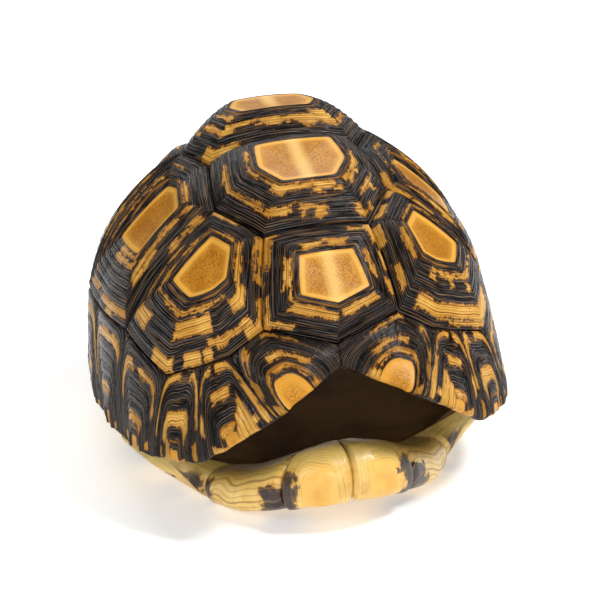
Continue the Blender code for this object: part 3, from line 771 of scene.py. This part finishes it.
# first and last rib, the growth centre (share of the ribs, share along the rib), puff of the
# rolled edge in mm, then dark patches: share of the ribs from and to, share along the rib
# from and to
plastrals = {
    "gular": (0, 3, (0.42, 0.66), 1.2, [(0.74, 1.2, 0.46, 0.8), (0.5, 1.2, 0.4, 0.52)]),
    "humeral": (3, 7, (0.5, 0.7), 0.5, [(-0.3, 0.26, 0.42, 0.76), (0.9, 1.2, 0.5, 0.8)]),
    "pectoral": (7, 10, (0.3, 0.8), 0, [(0.3, 0.7, 0.6, 0.74), (0.1, 0.9, 0.88, 0.95)]),
    "abdominal": (10, 15, (0.5, 0.8), 0, [
        (0.1, 0.35, 0.5, 0.85), (0.5, 0.6, 0.3, 0.8), (0.75, 0.9, 0.45, 0.9),
    ]),
    "femoral": (15, 19, (0.5, 0.7), 0.2, [(0.2, 0.5, 0.3, 0.5), (0.6, 0.8, 0.5, 0.8)]),
    "anal": (19, 24, (0.5, 0.6), 0.2, [(0.3, 0.6, 0.4, 0.7)]),
    "axillary": (7, 8, (0.5, 0.5), 0, [(0.2, 0.8, 0.6, 0.9)]),
    "inguinal": (15, 16, (0.5, 0.5), 0, [(0.3, 0.8, 0.6, 0.9)]),
}
plastralRows = {  # rows along a rib, where they differ from the usual number
    "gular": 90, "humeral": 100, "pectoral": 120, "abdominal": 120, "axillary": 40, "inguinal": 40,
}


def plastralScute(name, mirrored):
    kind = name.split("_")[0]
    first, last, growthAt, puff, patches = plastrals[kind]
    span = np.linalg.norm(ribPoints[last, 30] - ribPoints[first, 30])
    columns = max(24, int(span / plastron["columnStep"]))
    part = np.linspace(0, 1, columns)[None]
    run = np.linspace(0, 1, plastralRows.get(kind, plastron["rows"]))[:, None]
    rib = first + (last - first) * part
    low, high = 0 * rib, 1 + 0 * rib
    if kind == "axillary":
        low = 0.5 + 0.5 * blend(7, 8, rib)
    elif kind == "pectoral":
        high = 0.5 + 0.5 * blend(7, 8, rib)
    elif kind == "inguinal":
        low = 0.5 + 0.5 * blend(15, 16, rib)
    elif kind == "femoral":
        high = 0.5 + 0.5 * blend(15, 16, rib)
    share = low + (high - low) * run
    share = np.clip(share, 0, 1) * 0.999
    outer, inward = plastronPoint(rib * np.ones_like(share), share)
    length = np.linalg.norm(np.diff(outer, axis=0), axis=-1).sum(0).mean()
    edge = np.minimum(np.minimum(part, 1 - part) * span, np.minimum(run, 1 - run) * length)
    groove = np.clip(1 - edge / plastron["rollWidth"], 0, 1) ** 2 * plastron["rollDepth"]
    rolled = blend(0.5, 0.62, share) * blend(0, 0.2, 1 - np.abs(2 * part - 1)) * blend(1.02, 0.9, share)
    alongRibs = np.abs(part - growthAt[0]) / np.where(part < growthAt[0], growthAt[0], 1 - growthAt[0])
    alongRun = np.abs(run - growthAt[1]) / np.where(run < growthAt[1], growthAt[1], 1 - growthAt[1])
    growth = (alongRibs**3.6 + alongRun**3.6 + 1e-9) ** (1 / 3.6)
    if kind != "gular":
        growth = 1.1 * run * np.ones_like(part)
    phase = growth * 8 + 0.5 * ripple(part * 0.9 + run * 0.6, len(name), 2)
    bentPart = blend(0.45, 0.55, share)
    lines = np.abs(np.sin(np.pi * phase)) ** 0.7 * blend(0.35, 0.6, growth)
    away = groove * bentPart - puff * rolled - plastron["line"] * lines * bentPart
    if kind == "gular":
        away = away + 1.1 * np.exp(-(((part - 0.42) / 0.26) ** 2) - ((share - 0.69) / 0.05) ** 2)
        away = away + 0.25 * ripple(part * 1.1 + share * 2.3, 2.0, 2) * np.exp(-((growth / 0.5) ** 2))
    outer = outer + inward * away[..., None]
    inner, inwardThere = plastronPoint(rib * np.ones_like(share), share)
    inner = inner + inwardThere * plastron["thickness"]
    outer[..., 2] = np.maximum(outer[..., 2], 0.0)
    for sheet in (outer, inner):
        sheet[:, 0] += unitOf(sheet[:, 1] - sheet[:, 0]) * plastron["gap"]
        sheet[:, -1] += unitOf(sheet[:, -2] - sheet[:, -1]) * plastron["gap"]
        sheet[0] += unitOf(sheet[1] - sheet[0]) * plastron["gap"]
        sheet[-1] += unitOf(sheet[-2] - sheet[-1]) * plastron["gap"]
    field = np.full(share.shape, 9.0)
    for patch in patches:
        across = np.minimum(part - patch[0], patch[1] - part) * span * np.ones_like(share)
        along = np.minimum(share - patch[2], patch[3] - share) * length
        field = np.minimum(field, -np.minimum(across, along))
    plate = (0.5 - growth) * min(span, length) * 0.5
    if kind != "gular":
        plate = plate - plastron["noPlate"]
    grain = np.stack([part * span * np.ones_like(share), growth * length * 0.5, phase], -1)
    data = {
        "pale": foldedMark(field), "plate": foldedMark(plate), "grain": foldedMark(grain),
        "across": foldedMark(np.full(share.shape, 30.0)), "fold": foldedMark(share, 1.0),
    }
    rows = foldedSheet(outer, inner)
    if mirrored:
        rows = rows * np.array((-1, 1, 1))
    return makeSheet("scute_" + name, rows, data, "paleHorn", [name])


# ---- bone ----

bones = {"smoothing": 2, "merge": 0.00001}


def smoothBone(name):
    bpy.ops.object.select_all(action="DESELECT")
    source = bpy.data.objects[name]
    piece = source.copy()
    piece.data = source.data.copy()
    piece.name = "smooth_" + name
    piece.data.name = "smooth_" + name
    bpy.context.collection.objects.link(piece)
    piece.select_set(True)
    bpy.context.view_layer.objects.active = piece
    bpy.ops.object.mode_set(mode="EDIT")
    bpy.ops.mesh.select_all(action="SELECT")
    bpy.ops.mesh.remove_doubles(threshold=bones["merge"])
    bpy.ops.mesh.tris_convert_to_quads()
    bpy.ops.object.mode_set(mode="OBJECT")
    bpy.ops.object.modifier_add(type="SUBSURF")
    piece.modifiers[-1].levels = bones["smoothing"]
    bpy.ops.object.modifier_apply(modifier=piece.modifiers[-1].name)
    bpy.ops.object.shade_smooth()
    piece.data.materials.clear()
    piece.data.materials.append(bpy.data.materials["dryBone"])
    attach(piece, "root")
    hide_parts(name)
    return piece


# ---- finishes ----


class Wire:  # a socket that can be used in an expression
    def __init__(self, finish, socket):
        self.finish = finish
        self.socket = socket

    def maths(self, operation, first, second=0.0):
        return self.finish.node("ShaderNodeMath", {"operation": operation}, {0: first, 1: second})

    def __add__(self, other):
        return self.maths("ADD", self, other)

    def __radd__(self, other):
        return self.maths("ADD", other, self)

    def __sub__(self, other):
        return self.maths("SUBTRACT", self, other)

    def __rsub__(self, other):
        return self.maths("SUBTRACT", other, self)

    def __mul__(self, other):
        return self.maths("MULTIPLY", self, other)

    def __rmul__(self, other):
        return self.maths("MULTIPLY", other, self)

    def __abs__(self):
        return self.maths("ABSOLUTE", self)

    def floor(self):
        return self.maths("FLOOR", self)

    def fraction(self):
        return self.maths("FRACT", self)

    def sine(self):
        return self.maths("SINE", self)

    def atLeast(self, least):
        return self.maths("MAXIMUM", self, least)

    def step(self, low, high):  # smooth step from low to high
        ends = {"Value": self, "From Min": low, "From Max": high}
        return self.finish.node("ShaderNodeMapRange", {"interpolation_type": "SMOOTHSTEP"}, ends)


class Finish:  # a material being made
    def __init__(self, name):
        self.material = bpy.data.materials.new(name)
        self.material.use_nodes = True
        self.tree = self.material.node_tree
        self.shader = self.tree.nodes["Principled BSDF"]

    def node(self, kind, settings, sockets, out=0):
        node = self.tree.nodes.new(kind)
        for key, value in settings.items():
            setattr(node, key, value)
        for key, value in sockets.items():
            if isinstance(value, Wire):
                self.tree.links.new(value.socket, node.inputs[key])
            else:
                node.inputs[key].default_value = value
        return Wire(self, node.outputs[out])

    def mark(self, name, out="Fac"):
        return self.node("ShaderNodeAttribute", {"attribute_name": name}, {}, out)

    def noise(self, vector, scale, detail=3.0, rough=0.55):
        grains = {"Vector": vector, "Scale": scale, "Detail": detail, "Roughness": rough}
        return self.node("ShaderNodeTexNoise", {}, grains)

    def joined(self, x, y, z):
        return self.node("ShaderNodeCombineXYZ", {}, {0: x, 1: y, 2: z})

    def part(self, vector, axis):
        return self.node("ShaderNodeSeparateXYZ", {}, {0: vector}, axis)

    def mix(self, share, first, second):
        first = (*first, 1) if isinstance(first, tuple) else first
        second = (*second, 1) if isinstance(second, tuple) else second
        return self.node("ShaderNodeMix", {"data_type": "RGBA"}, {0: share, 6: first, 7: second}, 2)

    def feed(self, socket, value):
        if isinstance(value, Wire):
            self.tree.links.new(value.socket, self.shader.inputs[socket])
        else:
            self.shader.inputs[socket].default_value = value


def hornFinish(name, look):
    finish = Finish(name)
    spot = finish.node("ShaderNodeTexCoord", {}, {}, "Object")
    pale, plate, across = finish.mark("pale"), finish.mark("plate"), finish.mark("across")
    grain = finish.mark("grain", "Vector")
    arc, away, phase = (finish.part(grain, axis) for axis in range(3))
    cloud = finish.noise(spot, 420.0, 3.0)
    broad = finish.noise(spot, 110.0, 2.0)
    warp = finish.noise(spot, 190.0, 3.0, 0.6)
    teeth = finish.noise(finish.joined(arc * 2.2, away * 0.3, 0.0), 1.0, 2.0)
    lineNumber = (phase * 4.0).floor()
    steps = finish.noise(finish.joined(arc * 0.3, lineNumber * 3.7, 0.0), 1.0, 1.0)
    edge = pale + (cloud - 0.5) * look["blur"] + (warp - 0.5) * look["warp"]
    edge = edge + (teeth - 0.5) * look["teeth"] + (steps - 0.5) * look["steps"]
    yellow = edge.step(-0.1, 0.12)
    grooves = (phase * 3.0).fraction()
    groove = abs(grooves - 0.5).step(0.26, 0.5)
    major = phase.fraction()
    majorGrooveShade = abs(major - 0.5).step(0.38, 0.5)
    streak = finish.noise(finish.joined(arc * 0.08, phase * 6.5, 0.0), 1.0, 1.0)
    hair = streak.step(0.58, 0.64) * look["hairs"]
    glints = finish.noise(finish.joined(arc * 0.09, phase * 2.3, 0.0), 1.0, 1.0)

    gold = finish.mix(broad.step(0.35, 0.65), look["gold"], look["cream"])
    gold = finish.mix(cloud.step(0.5, 0.75) * 0.45, gold, look["amber"])
    # painted shade: the bottoms of the fine and major growth-line grooves in the yellow horn are darkened
    # toward a dark brown
    gold = finish.mix(groove * look["lines"] + majorGrooveShade * look["lines"], gold, look["rust"])
    gold = finish.mix((1.0 - edge.step(0.0, 1.1)) * 0.75, gold, look["amber"])
    dark = finish.mix(cloud.step(0.45, 0.75), look["black"], look["brown"])
    dark = finish.mix(edge.step(-0.9, 0.0) * 0.5, dark, look["rust"])
    # painted highlight: lighter grey lines on the crests of the fine growth ridges in the dark horn, broken
    # up by the glints noise
    paintedCrestHighlight = (1.0 - abs(grooves - 0.5).step(0.0, 0.2)) * glints.step(0.42, 0.6)
    dark = finish.mix(paintedCrestHighlight * look["crestHighlightAndRingLine"], dark, look["paintedCrestHighlightColour"])
    dark = finish.mix(hair, dark, look["tan"])
    ringLine = 1.0 - abs(plate + 1.5).step(0.1, 0.4)
    # the same strength also sets a real amber ring line just outside the plate
    dark = finish.mix(ringLine * glints.step(0.3, 0.6) * look["crestHighlightAndRingLine"], dark, look["amber"])
    banded = finish.mix(yellow, dark, gold)

    granules = finish.noise(spot, 2300.0, 2.0, 0.6)
    patchy = finish.noise(spot, 160.0, 2.0)
    rimLight = 1.0 - abs(plate - 0.8).step(0.0, 0.9)
    deep = plate.step(0.6, 3.0)
    core = finish.mix(patchy.step(0.3, 0.7) * 0.5 + deep * 0.45, look["plateGold"], look["plateAmber"])
    core = finish.mix(granules.step(0.48, 0.6) * deep * look["speckle"], core, look["plateBrown"])
    core = finish.mix(rimLight * look["rimLight"], core, look["plateRim"])
    keel = 1.0 - across.step(0.2, 3.0)
    core = finish.mix(keel * 0.6, core, look["plateKeel"])
    onPlate = (plate + (cloud - 0.5) * 0.25).step(*look["plateEdge"])
    onPlate = onPlate * yellow.atLeast(look["plateCover"])
    colour = finish.mix(onPlate, banded, core)
    if "olive" in look:
        fold = finish.mark("fold")
        # painted shade: the olive edge is darkened in the growth-line grooves, together with its real tan
        # hairs
        olive = finish.mix(groove * 0.3 + hair, look["olive"], look["rust"])
        colour = finish.mix((fold + (broad - 0.5) * 0.08).step(0.77, 0.86) * 0.85, colour, olive)
    finish.feed("Base Color", colour)

    horny = 1.0 - onPlate
    rough = look["roughness"] + (cloud - 0.5) * 0.14 + yellow * horny * 0.06 + onPlate * 0.08
    finish.feed("Roughness", rough)
    finish.feed("Coat Weight", look["coat"])
    finish.feed("Coat Roughness", 0.15)
    finish.feed("Specular IOR Level", look["shine"])
    fineLines = (phase * 44.0).sine() * 0.5 + 0.5
    scratches = finish.noise(finish.joined(arc * 0.15, phase * 14.0, 0.0), 1.0, 1.0)
    relief = (fineLines * 0.45 + cloud * 0.5 + scratches * 0.9) * horny + granules * onPlate * look["speckle"]
    bump = finish.node(
        "ShaderNodeBump", {}, {"Strength": look["bump"], "Distance": 0.00013, "Height": relief}, "Normal"
    )
    finish.feed("Normal", bump)
    return finish.material


hornColours = {
    "gold": (0.52, 0.25, 0.032), "cream": (0.66, 0.37, 0.075), "amber": (0.31, 0.12, 0.009),
    # painted shade and real colour: the next colour darkens the growth-line grooves as painted shade and is
    # also the real brown in the dark horn next to the yellow patches
    "rust": (0.09, 0.032, 0.005),
    "black": (0.002, 0.0015, 0.0015), "brown": (0.008, 0.0045, 0.0035), "tan": (0.27, 0.14, 0.045),
    "plateGold": (0.48, 0.225, 0.024), "plateAmber": (0.34, 0.128, 0.006), "plateBrown": (0.15, 0.055, 0.003),
    "plateRim": (0.62, 0.33, 0.055), "plateKeel": (0.72, 0.45, 0.13), "rimLight": 0.7,
    # painted shade: one entry on the next line sets how strongly the growth-line grooves are darkened
    "plateEdge": (-0.05, 0.1), "plateCover": 1.0, "lines": 0.55, "shine": 0.14,
    # painted highlight: the colour and the strength on the next line light the crests of the growth ridges in
    # the dark horn; the strength also sets the real amber ring line round the plate
    "paintedCrestHighlightColour": (0.15, 0.13, 0.13), "crestHighlightAndRingLine": 0.7,
}
domeLook = {
    **hornColours, "blur": 0.8, "warp": 2.6, "teeth": 1.6, "steps": 2.2, "hairs": 0.4, "speckle": 0.7,
    "roughness": 0.24, "coat": 0.03, "bump": 1.0,
}
rimLook = {
    **domeLook, "plateGold": (0.50, 0.23, 0.025), "plateAmber": (0.36, 0.14, 0.01),
    "plateRim": (0.50, 0.24, 0.03),
}
lowerLook = {
    **hornColours, "gold": (0.62, 0.37, 0.08), "cream": (0.76, 0.53, 0.17), "amber": (0.42, 0.21, 0.035),
    # painted shade and real colour: the first colour on the next line darkens the growth-line grooves and is
    # also the real brown in the dark horn next to the yellow patches
    "rust": (0.20, 0.095, 0.02), "black": (0.018, 0.008, 0.005), "brown": (0.04, 0.018, 0.009),
    "plateGold": (0.70, 0.43, 0.10), "plateAmber": (0.60, 0.29, 0.035), "plateRim": (0.68, 0.36, 0.07),
    "rimLight": 0.0, "plateEdge": (-0.6, 1.6), "plateCover": 0.0, "olive": (0.40, 0.29, 0.08), "blur": 2.4,
    # painted shade: the next line also sets how strongly the growth-line grooves are darkened
    "warp": 9.0, "teeth": 1.0, "steps": 0.8, "hairs": 0.5, "speckle": 0.0, "lines": 0.4, "crestHighlightAndRingLine": 0.0,
    "roughness": 0.28,
    "coat": 0.1, "shine": 0.4, "bump": 0.4,
}


def boneFinish():
    finish = Finish("dryBone")
    spot = finish.node("ShaderNodeTexCoord", {}, {}, "Object")
    cloud = finish.noise(spot, 60.0, 4.0)
    pores = finish.noise(spot, 1500.0, 2.0)
    colour = finish.mix(cloud.step(0.35, 0.65), (0.10, 0.05, 0.018), (0.22, 0.13, 0.05))
    colour = finish.mix(pores.step(0.55, 0.7) * 0.5, colour, (0.07, 0.035, 0.015))
    lip = finish.part(spot, 1) + (cloud - 0.5) * 0.01
    colour = finish.mix((lip * -1.0).step(0.046, 0.058), colour, (0.34, 0.23, 0.07))
    finish.feed("Base Color", colour)
    finish.feed("Roughness", 0.5 + (cloud - 0.5) * 0.2)
    relief = {"Strength": 0.5, "Distance": 0.0003, "Height": pores * 0.5 + cloud}
    bump = finish.node("ShaderNodeBump", {}, relief, "Normal")
    finish.feed("Normal", bump)
    return finish.material


hornFinish("domeHorn", domeLook)
hornFinish("rimHorn", rimLook)
hornFinish("paleHorn", lowerLook)
boneFinish()
print("finishes made")

# ---- the whole shell ----

for name in upperScutes:
    if name.startswith("vertebral"):
        upperScute(name, False)
    else:
        upperScute(name + "_left", False)
        upperScute(name + "_right", True)
print("upper scutes made")

for number in range(1, 12):
    marginalScute(number, f"marginal_{number}_left", False)
    marginalScute(number, f"marginal_{number}_right", True)
marginalScute(12, "supracaudal", False)
print("marginal scutes made")

for kind in plastrals:
    plastralScute(kind + "_left", False)
    plastralScute(kind + "_right", True)
print("plastron scutes made")

for name in ("carapace_bone", "plastron_bone"):
    smoothBone(name)
print("bone finished")
